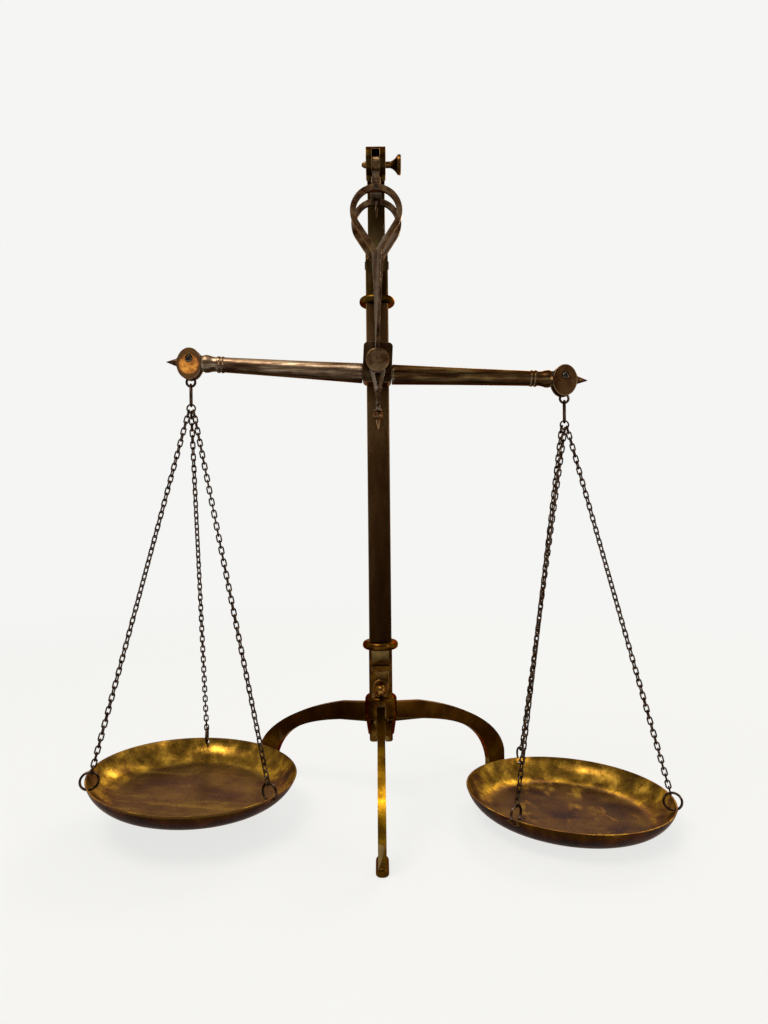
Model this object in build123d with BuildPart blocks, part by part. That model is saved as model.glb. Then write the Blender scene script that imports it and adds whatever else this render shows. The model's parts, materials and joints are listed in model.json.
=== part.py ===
"""Folding brass beam balance: square pillar on three folding legs, shears hung
from a folding top arm, an equal-arm beam with box ends, and two chain-hung pans.

Millimetres, +Z up, floor at z = 0. The viewer stands on the -Y side.
"""
from build123d import *
from math import atan2, cos, degrees, radians, sin, sqrt, tan
import os

os.makedirs("parts", exist_ok=True)

# Heights and depths of the main lines
beam_y = -4.0
overhang = 31.0
pin_z = 534.0
fulcrum_z = 371.5
beam_tilt = 3.0

# Clearances
fit = 0.05
side_play = 0.3
seat_gap = 0.1
link_gap = 0.25

# Pillar
pillar_side = 19.0
pillar_bottom = 140.5
pillar_top = 428.0
pillar_round = 1.2
tenon_r = 6.0
tenon_length = 24.0
foot_tenon_length = 47.0

# Base hub and legs
hub_side = 19.7
hub_corner = 2.5
hub_bottom = 56.0
bulge_r = 13.6
bulge_foot_r = 11.2
bulge_low = 61.0
bulge_high = 94.0
bulge_round = 3.6
collar_r = 15.2
collar_height = 7.0
collar_round = 3.2
ledge_width = 16.0
ledge_out = 3.0
ledge_z = 118.0
ledge_height = 6.0
screw_z = 102.0
screw_shank_r = 2.5
screw_ball_r = 5.0
screw_neck = 3.0
escutcheon_r = 7.5
escutcheon_thick = 1.8
leg_thick = 6.0
leg_play = 0.5
leg_top = 86.4
leg_pin_z = 74.0
leg_pin_rho = 9.5
leg_pin_r = 2.0
leg_eye_r = 4.2
leg_straight = 40.0
rear_reach = 134.0
front_reach = 120.0
leg_depth = 18.6
foot_length = 21.0
foot_width = 9.3
foot_height = 7.0
foot_round = 1.5
foot_shoulder = 3.0
leg_azimuths = {"front_leg": -90.0, "rear_right_leg": 30.0, "rear_left_leg": 150.0}

# Folding top arm
fork_cheek = 2.0
fork_floor = 455.0
hinge_z = 463.0
hinge_pin_r = 2.5
hinge_head_r = 3.4
hinge_head = 0.8
arm_depth = 14.6
arm_heel_r = 7.6
arm_bend_r = 30.0
arm_inner_bend_r = 13.0
nose_r = 11.0
nose_rise = 2.6
head_width = 16.0
slot_width = 6.2
tongue_r = 7.5
tongue_room = 1.0
thumb_shank_r = 2.5
thumb_tip = 3.5
thumb_neck = 3.9
thumb_head_r = 7.7
thumb_head_length = 8.6

# Shears
tongue_width = 5.8
neck_width = 7.2
neck_depth = 8.0
cheek_offset = 12.5
cheek_thick = 3.5
neck_drop = 11.5
loop_drop = 22.1
loop_r = 20.9
loop_band = 4.5
loop_taper = 33.0
stem_drop = 2.9
stem_top_half = 3.9
stem_waist_half = 2.5
stem_waist_drop = 27.0
stem_end_half = 1.6
boss_z = 372.0
boss_r = 9.4
bore_r = 6.5
cap_thick = 1.6
yoke_bar_width = 9.0
rivet_r = 1.25
rivet_head_r = 2.0
index_length = 16.0
index_r = 0.9
index_bulge_r = 1.5
tail_thick = 2.4
tail_bend_z = 351.0
tail_join_z = 341.0
tail_end_z = 334.5
tail_half = 1.7
tail_root_half = 6.4
tang_thick = 2.0
tail_rivet_r = 1.0
finial_ball_r = 4.1
finial_tip_z = 318.5

# Beam, in its own level frame: u to the right and w up from the centre knife edge
half_beam = 152.4
end_sink = 0.5
body_half_u = 11.75
body_low = -16.4
body_high = 15.8
body_half_y = 9.5
body_round = 3.5
arm_axis_w = -8.1
arm_end_w = -5.9
arm_root_r = 8.1
arm_tip_r = 6.1
ring_r = 6.7
neck_r = 5.9
cup_r = 7.2
spigot_r = 4.0
spigot_length = 5.0
knife_half = 2.8
knife_height = 5.2
end_knife_half = 2.4
end_knife_height = 4.8
knife_stub = 1.2
needle_r = 0.9
needle_length = 114.0
needle_root_r = 1.6
box_half_u = 9.95
box_half_w = 12.75
box_centre_w = -7.0
box_plate = 1.8
box_gap = 6.4
box_block = 3.2
spike_r = 3.5
spike_length = 9.4

# Pan suspension, measured down from each end knife edge
shackle_thick = 3.2
shackle_crown = 3.6
shackle_half = 5.2
shackle_shank_half = 2.4
eye_drop = 21.0
eye_r = 3.5
eye_wire_r = 1.0
hook_wire_r = 0.75
hook_length = 18.0
hook_half = 2.2
gather_wire_r = 0.65
gather_r = 3.35
gather_slots = {"left": (-128.0, -90.0, -52.0), "right": (-135.0, -86.0, -50.0)}
wire_r = 0.6
link_pitch = 5.0
link_half = 1.7
ring_wire_r = 0.95
pan_ring_r = 6.65
pan_drop = {"left": 338.0, "right": 341.0}
pan_rim_r = 82.6
pan_flat_r = 58.0
pan_depth = 18.0
pan_sheet = 1.2
pan_hole_r = 1.7
pan_hole_drop = 2.8
pan_wire_drop = 3.1
pan_roll = {"left": 3.5, "right": 2.0}
pan_pitch = {"left": 0.0, "right": 1.5}
pan_hole_azimuths = {"left": (208.0, 97.0, 329.0), "right": (227.0, 107.0, 340.0)}

# Values that follow from the ones above
pillar_y = beam_y + overhang
slot_half = slot_width / 2
leg_slot = leg_thick + 2 * leg_play
leg_ceiling = leg_top + seat_gap
core_rho = leg_pin_rho - leg_eye_r - side_play - seat_gap
hub_top = pillar_bottom
bulge_waist = leg_pin_z + leg_pin_r + 1.0
collar_low = hub_top - collar_height
fork_collar_top = pillar_top + collar_height
arm_half = pillar_side / 2 - fork_cheek - side_play / 2
arm_front = pillar_y - arm_depth / 2
arm_back = pillar_y + arm_depth / 2
cheek_inner = cheek_offset - cheek_thick / 2
cheek_outer = cheek_offset + cheek_thick / 2
box_outer = box_gap / 2 + box_plate
head_top = pin_z + nose_rise + nose_r
head_low = pin_z + nose_rise - nose_r
neck_z = pin_z - neck_drop
loop_top = pin_z - loop_drop
loop_z = loop_top - loop_r


def stand_plane(z):
    """A level plane at height z, centred on the pillar."""
    return Plane((0, pillar_y, z))


def radial_plane(azimuth):
    """Upright plane through the pillar axis: x runs outward, y up."""
    a = radians(azimuth)
    return Plane((0, pillar_y, 0), x_dir=(cos(a), sin(a), 0), z_dir=(sin(a), -cos(a), 0))


def front_plane(y, u=0.0, z=0.0):
    """Upright plane facing the viewer at depth y: x to the right, y up."""
    return Plane((u, y, z), x_dir=(1, 0, 0), z_dir=(0, -1, 0))


def side_plane(x):
    """Upright plane facing +X at width x: its x runs back, its y up."""
    return Plane((x, 0, 0), x_dir=(0, 1, 0), z_dir=(1, 0, 0))


def beam_point(u, w, y=0.0):
    """Place of a point of the level beam once the beam has tilted to rest."""
    t = radians(beam_tilt)
    return Vector(u * cos(t) + w * sin(t), beam_y + y, fulcrum_z - u * sin(t) + w * cos(t))


def beam_plane(y=0.0, u=0.0, w=0.0, turn=0.0):
    """Plane of the tilted beam facing the viewer, y in front being negative."""
    t = radians(-beam_tilt + turn)
    return Plane(beam_point(u, w, y), x_dir=(cos(t), 0, sin(t)), z_dir=(0, -1, 0))


def beam_across(u, w, turn=0.0):
    """Plane across the beam at u, facing outward to the right."""
    t = radians(-beam_tilt + turn)
    return Plane(beam_point(u, w), x_dir=(0, 1, 0), z_dir=(cos(t), 0, sin(t)))


def save(part, name):
    """Label a finished piece and write it under its own name."""
    part.label = name
    export_step(part, f"parts/{name}.step")


# Pillar: a square bar with a round tenon at each end
with BuildPart() as pillar_shaft:
    with BuildSketch(stand_plane(pillar_bottom)):
        RectangleRounded(pillar_side, pillar_side, pillar_round)
    extrude(amount=pillar_top - pillar_bottom)
    with BuildSketch(stand_plane(pillar_bottom - foot_tenon_length)):
        Circle(tenon_r)
    extrude(amount=foot_tenon_length)
    with BuildSketch(stand_plane(pillar_top)):
        Circle(tenon_r)
    extrude(amount=tenon_length)
save(pillar_shaft.part, "pillar_shaft")

# Base hub: a square casting that bulges round three leg slots, with a collar on top
with BuildPart() as base_hub:
    with BuildSketch(stand_plane(hub_bottom)):
        RectangleRounded(hub_side, hub_side, hub_corner)
    extrude(amount=collar_low - hub_bottom)
    chamfer(base_hub.faces().sort_by(Axis.Z)[0].edges(), 1.0)
    with BuildPart(mode=Mode.PRIVATE) as bulge:
        with BuildSketch(side_plane(0)):
            with BuildLine():
                Polyline(
                    (pillar_y, bulge_low), (pillar_y + bulge_foot_r, bulge_low),
                    (pillar_y + bulge_r, bulge_waist), (pillar_y + bulge_r, bulge_high),
                    (pillar_y, bulge_high), close=True,
                )
            make_face()
        revolve(axis=Axis((0, pillar_y, 0), (0, 0, 1)))
        fillet(bulge.edges().filter_by(GeomType.CIRCLE).sort_by(Axis.Z)[-1], bulge_round)
    add(bulge.part)
    with BuildPart(mode=Mode.PRIVATE) as hub_collar:
        with BuildSketch(stand_plane(collar_low)):
            Circle(collar_r)
        extrude(amount=collar_height)
        fillet(hub_collar.edges().filter_by(GeomType.CIRCLE), collar_round)
    add(hub_collar.part)
    with BuildSketch(front_plane(pillar_y - hub_side / 2, 0, ledge_z)):
        RectangleRounded(ledge_width, ledge_height, ledge_height * 0.48)
    extrude(amount=ledge_out)
    fillet(base_hub.faces().sort_by(Axis.Y)[0].edges(), ledge_height * 0.4)
    for azimuth in leg_azimuths.values():
        with BuildSketch(radial_plane(azimuth)):
            with Locations((core_rho, hub_bottom - 1)):
                Rectangle(
                    bulge_r * 2, leg_ceiling - hub_bottom + 1, align=(Align.MIN, Align.MIN)
                )
        extrude(amount=leg_slot / 2, both=True, mode=Mode.SUBTRACT)
        with BuildSketch(radial_plane(azimuth)):
            with Locations((leg_pin_rho, leg_pin_z)):
                Circle(leg_pin_r + fit)
        extrude(amount=bulge_r * 1.5, both=True, mode=Mode.SUBTRACT)
    with BuildSketch(stand_plane(pillar_bottom - foot_tenon_length - seat_gap)):
        Circle(tenon_r + fit)
    extrude(amount=foot_tenon_length + 1, mode=Mode.SUBTRACT)
    with BuildSketch(front_plane(pillar_y, 0, screw_z)):
        Circle(screw_shank_r + fit)
    extrude(amount=hub_side, mode=Mode.SUBTRACT)
save(base_hub.part, "base_hub")

# Escutcheon and ball-headed screw that clamp the pillar's tenon
hub_front = pillar_y - hub_side / 2
with BuildPart() as hub_escutcheon:
    with BuildSketch(front_plane(hub_front, 0, screw_z)):
        Circle(escutcheon_r)
        Circle(screw_shank_r + fit, mode=Mode.SUBTRACT)
    extrude(amount=escutcheon_thick)
    fillet(hub_escutcheon.faces().sort_by(Axis.Y)[0].outer_wire().edges(), escutcheon_thick / 2)
save(hub_escutcheon.part, "hub_escutcheon")

screw_seat = hub_front - escutcheon_thick
screw_point = pillar_y - tenon_r - seat_gap
with BuildPart() as hub_screw:
    with BuildSketch(front_plane(screw_point, 0, screw_z)):
        Circle(screw_shank_r)
    extrude(amount=screw_point - screw_seat)
    with BuildSketch(front_plane(screw_seat, 0, screw_z)):
        Circle(screw_neck + 0.6)
    extrude(amount=screw_neck / 2, taper=12)
    with BuildSketch(front_plane(screw_seat, 0, screw_z)):
        Circle(screw_neck)
    extrude(amount=screw_ball_r)
    with Locations((0, screw_seat - screw_neck / 2 - screw_ball_r, screw_z)):
        Sphere(screw_ball_r)
save(hub_screw.part, "hub_screw")

# Legs: flat bars that droop outward, turn down and end in a rounded foot
foot_middle = foot_height / 2
def leg_outline(reach):
    """Closed outline of a leg in its radial plane."""
    inner = reach - leg_depth
    Polyline(
        (leg_straight, leg_top - 3.4),
        (leg_pin_rho, leg_top),
        (leg_pin_rho - 3.0, leg_pin_z + 6.5),
        (leg_pin_rho - leg_eye_r, leg_pin_z),
    )
    ThreePointArc(
        (leg_pin_rho - leg_eye_r, leg_pin_z),
        (leg_pin_rho - leg_eye_r * cos(radians(45)), leg_pin_z - leg_eye_r * sin(radians(45))),
        (leg_pin_rho, leg_pin_z - leg_eye_r),
    )
    Line((leg_pin_rho, leg_pin_z - leg_eye_r), (leg_straight, leg_top - 18.9))
    Bezier(
        (leg_straight, leg_top - 18.9), (inner - 35.4, 61.0), (inner - 5.4, 50.0), (inner, 16.0)
    )
    Polyline((inner, 16.0), (inner, foot_middle), (reach, foot_middle), (reach, 22.0))
    Bezier(
        (reach, 22.0), (reach - 3.0, 50.0), (reach - 49.0, 73.0), (leg_straight, leg_top - 3.4)
    )


def make_leg(name, azimuth, reach):
    """One leg with its foot, standing where it is deployed."""
    foot_rho = reach - leg_depth / 2
    a = radians(azimuth)
    foot = (foot_rho * cos(a), pillar_y + foot_rho * sin(a))
    with BuildPart() as leg:
        with BuildSketch(radial_plane(azimuth)):
            with BuildLine():
                leg_outline(reach)
            make_face()
            with Locations((leg_pin_rho, leg_pin_z)):
                Circle(leg_pin_r + fit, mode=Mode.SUBTRACT)
        extrude(amount=leg_thick / 2, both=True)
        with BuildPart(mode=Mode.PRIVATE) as knob:
            with BuildSketch(Plane((*foot, 0), x_dir=(cos(a), sin(a), 0), z_dir=(0, 0, 1))):
                RectangleRounded(foot_length, foot_width, foot_width * 0.45)
            extrude(amount=foot_height)
            fillet(knob.faces().sort_by(Axis.Z)[-1].edges(), foot_shoulder)
            fillet(knob.faces().sort_by(Axis.Z)[0].edges(), foot_round)
        add(knob.part)
    save(leg.part, name)


for leg_name, leg_azimuth in leg_azimuths.items():
    make_leg(leg_name, leg_azimuth, front_reach if leg_name == "front_leg" else rear_reach)

pin_level = (leg_pin_z - leg_pin_r - bulge_low) / (bulge_waist - bulge_low)
pin_bulge_r = bulge_foot_r + (bulge_r - bulge_foot_r) * pin_level
leg_pin_half = sqrt(pin_bulge_r**2 - (leg_pin_rho + leg_pin_r)**2) - seat_gap
with BuildPart() as leg_hinge_pins:
    for azimuth in leg_azimuths.values():
        with BuildSketch(radial_plane(azimuth)):
            with Locations((leg_pin_rho, leg_pin_z)):
                Circle(leg_pin_r)
        extrude(amount=leg_pin_half, both=True)
save(leg_hinge_pins.part, "leg_hinge_pins")

# Top fork: collar, square socket and two cheeks that carry the folding arm
with BuildPart() as top_fork:
    with BuildSketch(stand_plane(pillar_top)):
        Circle(collar_r)
    extrude(amount=collar_height)
    fillet(top_fork.edges().filter_by(GeomType.CIRCLE), collar_round)
    with BuildSketch(stand_plane(fork_collar_top)):
        RectangleRounded(pillar_side, pillar_side, pillar_round)
    extrude(amount=hinge_z - fork_collar_top)
    with BuildSketch(side_plane(0)):
        with Locations((pillar_y, hinge_z)):
            Circle(pillar_side / 2)
    extrude(amount=pillar_side / 2, both=True)
    with BuildSketch(side_plane(0)):
        with Locations((pillar_y, fork_floor)):
            Rectangle(pillar_side * 1.2, pillar_side * 1.2, align=(Align.CENTER, Align.MIN))
    extrude(amount=pillar_side / 2 - fork_cheek, both=True, mode=Mode.SUBTRACT)
    with BuildSketch(side_plane(0)):
        with Locations((pillar_y, hinge_z)):
            Circle(hinge_pin_r + fit)
    extrude(amount=pillar_side, both=True, mode=Mode.SUBTRACT)
    with BuildSketch(stand_plane(pillar_top - 1)):
        Circle(tenon_r + fit)
    extrude(amount=tenon_length + 1 + seat_gap, mode=Mode.SUBTRACT)
save(top_fork.part, "top_fork")

with BuildPart() as arm_hinge_pin:
    with BuildSketch(side_plane(0)):
        with Locations((pillar_y, hinge_z)):
            Circle(hinge_pin_r)
    extrude(amount=pillar_side / 2, both=True)
    for side in (-1, 1):
        with BuildSketch(side_plane(side * pillar_side / 2)):
            with Locations((pillar_y, hinge_z)):
                Circle(hinge_head_r)
        extrude(amount=side * hinge_head)
save(arm_hinge_pin.part, "arm_hinge_pin")

# Folding arm: upright bar that sweeps forward into the slotted head
arm_foot = fork_floor + seat_gap
slot_r = tongue_r + tongue_room
with BuildPart() as head_arm:
    with BuildSketch(side_plane(0)):
        with BuildLine():
            Polyline(
                (beam_y, head_top),
                (arm_back - arm_bend_r, head_top),
            )
            RadiusArc(
                (arm_back - arm_bend_r, head_top),
                (arm_back, head_top - arm_bend_r),
                arm_bend_r,
            )
            Polyline(
                (arm_back, head_top - arm_bend_r),
                (arm_back, hinge_z),
                (pillar_y + arm_heel_r * cos(radians(30)), hinge_z - arm_heel_r * sin(radians(30))),
            )
            RadiusArc(
                (pillar_y + arm_heel_r * cos(radians(30)), hinge_z - arm_heel_r * sin(radians(30))),
                (pillar_y, arm_foot),
                arm_heel_r,
            )
            Polyline(
                (pillar_y, arm_foot),
                (arm_front, arm_foot),
                (arm_front, head_low - arm_inner_bend_r),
            )
            RadiusArc(
                (arm_front, head_low - arm_inner_bend_r),
                (arm_front - arm_inner_bend_r, head_low),
                -arm_inner_bend_r,
            )
            Polyline(
                (arm_front - arm_inner_bend_r, head_low),
                (beam_y, head_low),
                (beam_y, head_top),
            )
        make_face()
    extrude(amount=arm_half, both=True)
    with BuildSketch(side_plane(0)):
        with Locations((beam_y, pin_z + nose_rise)):
            Circle(nose_r)
            Rectangle(slot_r + 1.0, 2 * nose_r, align=(Align.MIN, Align.CENTER))
    extrude(amount=head_width / 2, both=True)
    with BuildSketch(side_plane(0)):
        with Locations((beam_y, pin_z)):
            Circle(slot_r)
            Rectangle(2 * slot_r, 2 * nose_r, align=(Align.CENTER, Align.MAX))
        with Locations((beam_y, pin_z + slot_r)):
            Rectangle(2 * nose_r, slot_r + 2 * nose_r, align=Align.MAX)
    extrude(amount=slot_half, both=True, mode=Mode.SUBTRACT)
    with BuildSketch(side_plane(0)):
        with Locations((beam_y, pin_z)):
            Circle(thumb_shank_r + fit)
    extrude(amount=head_width, both=True, mode=Mode.SUBTRACT)
    with BuildSketch(side_plane(0)):
        with Locations((pillar_y, hinge_z)):
            Circle(hinge_pin_r + fit)
    extrude(amount=head_width, both=True, mode=Mode.SUBTRACT)
save(head_arm.part, "head_arm")

# Thumb screw: pointed shank through the head, trumpet-shaped grip on the right
thumb_plane = Plane((0, beam_y, pin_z), x_dir=(1, 0, 0), z_dir=(0, -1, 0))
thumb_end = head_width / 2 + thumb_neck
with BuildPart() as thumb_screw:
    with BuildSketch(thumb_plane):
        with BuildLine():
            Polyline(
                (-head_width / 2 - thumb_tip, 0),
                (-head_width / 2 - thumb_tip, thumb_shank_r * 0.45),
                (-head_width / 2 - thumb_tip * 0.4, thumb_shank_r),
                (thumb_end, thumb_shank_r),
            )
            Bezier(
                (thumb_end, thumb_shank_r),
                (thumb_end + thumb_head_length * 0.3, thumb_shank_r * 1.3),
                (thumb_end + thumb_head_length * 0.5, thumb_head_r * 0.65),
                (thumb_end + thumb_head_length * 0.68, thumb_head_r * 0.96),
            )
            Polyline(
                (thumb_end + thumb_head_length * 0.68, thumb_head_r * 0.96),
                (thumb_end + thumb_head_length * 0.76, thumb_head_r),
                (thumb_end + thumb_head_length * 0.95, thumb_head_r),
                (thumb_end + thumb_head_length, thumb_head_r * 0.93),
                (thumb_end + thumb_head_length * 0.85, thumb_head_r * 0.6),
                (thumb_end + thumb_head_length * 0.85, 0),
                (-head_width / 2 - thumb_tip, 0),
            )
        make_face()
    revolve(axis=Axis((0, beam_y, pin_z), (1, 0, 0)))
save(thumb_screw.part, "thumb_screw")

# Shears yoke: tongue on the thumb screw, beaded neck and the bar between the loops
with BuildPart() as shears_yoke:
    with BuildSketch(side_plane(0)):
        with Locations((beam_y, pin_z)):
            Circle(tongue_r)
            Rectangle(neck_depth - 1, pin_z - neck_z, align=(Align.CENTER, Align.MAX))
    extrude(amount=tongue_width / 2, both=True)
    with BuildSketch(Plane((0, beam_y, loop_top - 1))):
        RectangleRounded(neck_width, neck_depth, 1.0)
    extrude(amount=neck_z - loop_top + 1)
    for bead_z in (neck_z - 0.8, neck_z - 3.6):
        with BuildSketch(Plane((0, beam_y, bead_z - 0.6))):
            RectangleRounded(neck_width + 0.8, neck_depth + 0.8, 1.2)
        extrude(amount=1.2)
    with BuildSketch(front_plane(beam_y + cheek_inner, 0, loop_top - loop_band / 2 - 1)):
        Rectangle(yoke_bar_width, loop_band + 1)
    extrude(amount=2 * cheek_inner)
    with BuildSketch(side_plane(0)):
        with Locations((beam_y, pin_z)):
            Circle(thumb_shank_r + fit)
    extrude(amount=tongue_width, both=True, mode=Mode.SUBTRACT)
    with BuildSketch(front_plane(beam_y + cheek_outer, 0, loop_top - loop_band / 2)):
        Circle(rivet_r + fit)
    extrude(amount=2 * cheek_outer, mode=Mode.SUBTRACT)
    with BuildSketch(Plane((0, beam_y, loop_top - loop_band - 2))):
        Circle(index_r + fit)
    extrude(amount=loop_band, mode=Mode.SUBTRACT)
save(shears_yoke.part, "shears_yoke")


def loop_tangent(r, side):
    """Point where the loop of radius r leaves its circle for the taper."""
    a = radians(loop_taper)
    return (side * r * cos(a), loop_z - r * sin(a))


def loop_apex(r):
    """Point on the centre line where the two tapers of radius r meet."""
    return (0, loop_z - r / sin(radians(loop_taper)))


stem_top_z = loop_apex(loop_r - loop_band)[1] - stem_drop
stem_waist_z = stem_top_z - stem_waist_drop


def make_cheek(name, side):
    """Teardrop loop, stem, boss and pierced tail; side is -1 in front, 1 behind."""
    inner_face = beam_y + side * cheek_inner
    outer_face = beam_y + side * cheek_outer
    inner_r = loop_r - loop_band
    with BuildPart() as cheek:
        with BuildSketch(front_plane(max(inner_face, outer_face))) as face:
            with Locations((0, loop_z)):
                Circle(loop_r)
            with BuildLine():
                Polyline(
                    loop_tangent(loop_r, -1), loop_apex(loop_r), loop_tangent(loop_r, 1),
                    (0, loop_z), close=True,
                )
            make_face()
            with BuildLine():
                Polyline(
                    (-stem_top_half, stem_top_z), (-stem_waist_half, stem_waist_z),
                    (-stem_end_half, boss_z), (stem_end_half, boss_z),
                    (stem_waist_half, stem_waist_z), (stem_top_half, stem_top_z), close=True,
                )
            make_face()
            with Locations((0, boss_z)):
                Circle(boss_r)
            with Locations((0, loop_z)):
                Circle(inner_r, mode=Mode.SUBTRACT)
            with BuildLine():
                Polyline(
                    loop_tangent(inner_r, -1), loop_apex(inner_r), loop_tangent(inner_r, 1),
                    (0, loop_z), close=True,
                )
            make_face(mode=Mode.SUBTRACT)
            with Locations((0, boss_z)):
                Circle(bore_r, mode=Mode.SUBTRACT)
            with Locations((0, loop_apex(inner_r)[1] - 4.0)):
                Circle(0.6, mode=Mode.SUBTRACT)
            with Locations((0, loop_top - loop_band / 2)):
                Circle(rivet_r + fit, mode=Mode.SUBTRACT)
        extrude(amount=cheek_thick)
        with BuildPart(mode=Mode.PRIVATE) as tail:
            with BuildSketch(side_plane(0)):
                near = side * tang_thick / 2
                with BuildLine():
                    Polyline(
                        (beam_y + side * cheek_inner, boss_z - bore_r - 1),
                        (beam_y + side * cheek_inner, tail_bend_z),
                        (beam_y + near, tail_join_z),
                        (beam_y + near, tail_end_z),
                        (beam_y + near + side * tail_thick, tail_end_z),
                        (beam_y + near + side * tail_thick, tail_join_z - 0.5),
                        (beam_y + side * (cheek_inner + tail_thick), tail_bend_z - 0.5),
                        (beam_y + side * (cheek_inner + tail_thick), boss_z - bore_r - 1),
                        close=True,
                    )
                make_face()
            extrude(amount=boss_r, both=True)
            with BuildSketch(front_plane(beam_y + cheek_outer)):
                with BuildLine():
                    Polyline(
                        (-tail_root_half, boss_z - bore_r - 1), (-tail_half, tail_bend_z - 4.5),
                        (-tail_half, tail_end_z), (tail_half, tail_end_z),
                        (tail_half, tail_bend_z - 4.5), (tail_root_half, boss_z - bore_r - 1),
                        close=True,
                    )
                make_face()
                with BuildLine():
                    Polyline(
                        (-2.6, boss_z - boss_r - 0.6), (0, tail_bend_z - 2.0),
                        (2.6, boss_z - boss_r - 0.6), close=True,
                    )
                make_face(mode=Mode.SUBTRACT)
                with Locations((0, (tail_join_z + tail_end_z) / 2)):
                    Circle(tail_rivet_r + fit, mode=Mode.SUBTRACT)
            extrude(amount=2 * cheek_outer, mode=Mode.INTERSECT)
            with BuildSketch(front_plane(beam_y + 2 * cheek_outer)):
                with Locations((0, boss_z)):
                    Circle(bore_r)
            extrude(amount=4 * cheek_outer, mode=Mode.SUBTRACT)
        add(tail.part)
    save(cheek.part, name)


make_cheek("shears_front_cheek", -1)
make_cheek("shears_rear_cheek", 1)

# Rivets that hold the loops to the yoke bar
with BuildPart() as yoke_rivets:
    for side in (-1, 1):
        face_y = beam_y + side * cheek_outer
        with BuildSketch(front_plane(face_y, 0, loop_top - loop_band / 2)):
            Circle(rivet_r)
        extrude(amount=side * (cheek_outer - 1.0))
        with BuildSketch(front_plane(face_y, 0, loop_top - loop_band / 2)):
            Circle(rivet_head_r)
        extrude(amount=-side * 0.7)
save(yoke_rivets.part, "yoke_rivets")

# Fixed index that hangs from the yoke bar over the needle's path
with BuildPart() as index_spike:
    index_top = loop_top - loop_band / 2 - 1.0
    index_shoulder = loop_top - loop_band - 1.5
    with BuildSketch(front_plane(beam_y)):
        with BuildLine():
            Polyline(
                (0, index_top), (index_r, index_top), (index_r, index_shoulder),
                (index_r * 1.5, index_shoulder - index_length * 0.12),
                (index_r * 0.7, index_shoulder - index_length * 0.35),
                (index_bulge_r, index_shoulder - index_length * 0.6),
                (index_r * 0.8, index_shoulder - index_length * 0.78),
                (0.2, index_shoulder - index_length), (0, index_shoulder - index_length),
                close=True,
            )
        make_face()
    revolve(axis=Axis((0, beam_y, 0), (0, 0, 1)))
save(index_spike.part, "index_spike")


def make_bearing(name, side):
    """Hardened block in the lower half of a boss; its groove takes the knife edge."""
    with BuildPart() as bearing:
        with BuildSketch(front_plane(beam_y + max(side * cheek_inner, side * cheek_outer), 0)):
            with Locations((0, boss_z)):
                Circle(bore_r - fit)
            with BuildLine():
                Polyline(
                    (-bore_r, fulcrum_z + bore_r * 0.3 - seat_gap / 2),
                    (0, fulcrum_z - seat_gap / 2),
                    (bore_r, fulcrum_z + bore_r * 0.3 - seat_gap / 2),
                    (bore_r, boss_z + bore_r + 1),
                    (-bore_r, boss_z + bore_r + 1),
                    close=True,
                )
            make_face(mode=Mode.SUBTRACT)
        extrude(amount=cheek_thick)
    save(bearing.part, name)


make_bearing("front_bearing", -1)
make_bearing("rear_bearing", 1)


def make_cap(name, side):
    """Round cover on the outer face of a boss."""
    with BuildPart() as cap:
        with BuildSketch(front_plane(beam_y + side * cheek_outer, 0, boss_z)):
            Circle(boss_r)
        extrude(amount=-side * cap_thick)
        outer = cap.faces().sort_by(Axis.Y)[0 if side < 0 else -1]
        fillet(outer.edges(), cap_thick / 2)
    save(cap.part, name)


make_cap("front_boss_cap", -1)
make_cap("rear_boss_cap", 1)

# Finial between the two tails, and the rivet through all three
with BuildPart() as tail_finial:
    with BuildSketch(front_plane(beam_y + tang_thick / 2)):
        with Locations((0, tail_end_z)):
            Rectangle(2 * tail_half, tail_join_z - tail_end_z, align=(Align.CENTER, Align.MIN))
        with Locations((0, (tail_join_z + tail_end_z) / 2)):
            Circle(tail_rivet_r + fit, mode=Mode.SUBTRACT)
    extrude(amount=tang_thick)
    with BuildSketch(front_plane(beam_y)):
        ball_z = tail_end_z - 4.8
        with BuildLine():
            Polyline(
                (0, tail_end_z), (3.2, tail_end_z), (3.2, tail_end_z - 0.9), (2.0, tail_end_z - 1.6)
            )
            ThreePointArc(
                (2.0, tail_end_z - 1.6), (finial_ball_r, ball_z), (2.0, ball_z - 3.2)
            )
            Polyline(
                (2.0, ball_z - 3.2), (1.9, ball_z - 5.0), (0.5, finial_tip_z), (0, finial_tip_z),
                (0, tail_end_z),
            )
        make_face()
    revolve(axis=Axis((0, beam_y, 0), (0, 0, 1)))
save(tail_finial.part, "tail_finial")

tail_stack = tang_thick / 2 + tail_thick
with BuildPart() as tail_rivet:
    rivet_z = (tail_join_z + tail_end_z) / 2
    with BuildSketch(front_plane(beam_y + tail_stack, 0, rivet_z)):
        Circle(tail_rivet_r)
    extrude(amount=2 * tail_stack)
    for side in (-1, 1):
        with BuildSketch(front_plane(beam_y + side * tail_stack, 0, rivet_z)):
            Circle(tail_rivet_r * 1.6)
        extrude(amount=-side * 0.5)
save(tail_rivet.part, "tail_rivet")


def knife_outline(half, height, grow, down):
    """Pointed section of a knife edge: apex at the origin, body above it, or below if down."""
    s = -1 if down else 1
    shoulder = height * 0.55
    Polyline(
        (0, -s * grow * 1.6), (half + grow, s * shoulder - s * grow * 0.6),
        (half + grow, s * (height + grow)), (-half - grow, s * (height + grow)),
        (-half - grow, s * shoulder - s * grow * 0.6), close=True,
    )


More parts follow.
